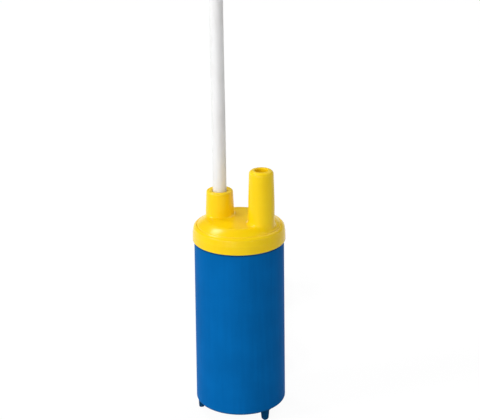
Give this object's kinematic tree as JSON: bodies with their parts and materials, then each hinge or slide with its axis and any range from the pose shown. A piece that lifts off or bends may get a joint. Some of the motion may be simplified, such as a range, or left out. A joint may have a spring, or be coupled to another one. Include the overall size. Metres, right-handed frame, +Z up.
{
  "type": "submersible caravan water pump",
  "caption": "Slim round submersible water pump with a casing on feet, a cap with a hose spigot and a cable gland, and a two-core lead.",
  "frame": {"origin": "on the floor under the pump's axis, level with the tips of the feet", "axes": "+Z up along the pump's axis, towards the spigot; -Y towards the front, where the spigot stands; +X to the right seen from the front"},
  "size_m": [0.0406, 0.181, 0.2135],
  "materials": {
    "blue_plastic": "gloss moulded blue plastic",
    "yellow_plastic": "semi-gloss moulded yellow plastic",
    "white_plastic": "matt moulded off-white plastic",
    "black_plastic": "matt black plastic",
    "seal_rubber": "black nitrile rubber",
    "grommet_rubber": "grey rubber",
    "lead_sheath": "satin white PVC sheath",
    "core_brown": "brown PVC insulation",
    "core_blue": "blue PVC insulation",
    "copper": "bare copper",
    "bronze": "sintered bronze",
    "steel": "zinc-plated steel sheet",
    "shaft_steel": "ground steel",
    "ferrite": "dark sintered ferrite",
    "carbon": "pressed carbon",
    "impeller_plastic": "natural acetal",
    "hub_plastic": "brown phenolic",
    "capacitor_coat": "dipped coating",
    "tie_plastic": "black coated tie"
  },
  "bodies": {
    "pump": {"casing": "blue_plastic", "top_cap": "yellow_plastic", "cap_seal_ring": "seal_rubber", "inlet_strainer": "blue_plastic", "suction_plate": "white_plastic", "volute_ring": "white_plastic", "motor_capsule": "white_plastic", "capsule_lid": "white_plastic", "capsule_seal_ring": "seal_rubber", "shaft_seal": "seal_rubber", "motor_can": "steel", "field_magnets": "ferrite", "magnet_clip": "steel", "lower_bearing": "bronze", "upper_bearing": "bronze", "motor_end_bell": "black_plastic", "brush_arms": "copper", "carbon_brushes": "carbon", "motor_terminals": "steel", "suppression_capacitor": "capacitor_coat", "cable_grommet": "grommet_rubber", "strain_relief_collar": "steel", "lead_inner": "lead_sheath", "inner_core_brown": "core_brown", "inner_core_blue": "core_blue", "lead_rise": "lead_sheath", "lead_hank": "lead_sheath", "hank_tie": "tie_plastic", "tail_core_brown": "core_brown", "tail_core_blue": "core_blue", "core_tips": "copper"},
    "rotor": {"motor_shaft": "shaft_steel", "armature_core": "steel", "armature_windings": "copper", "commutator_hub": "hub_plastic", "commutator_bars": "copper", "thrust_washers": "impeller_plastic", "impeller": "impeller_plastic"}
  },
  "joints": [
    {"name": "rotor_spin", "type": "hinge", "parent": "pump", "child": "rotor", "pos_m": [0, 0, 0.04], "axis": [0, 0, 1], "continuous": true}
  ]
}
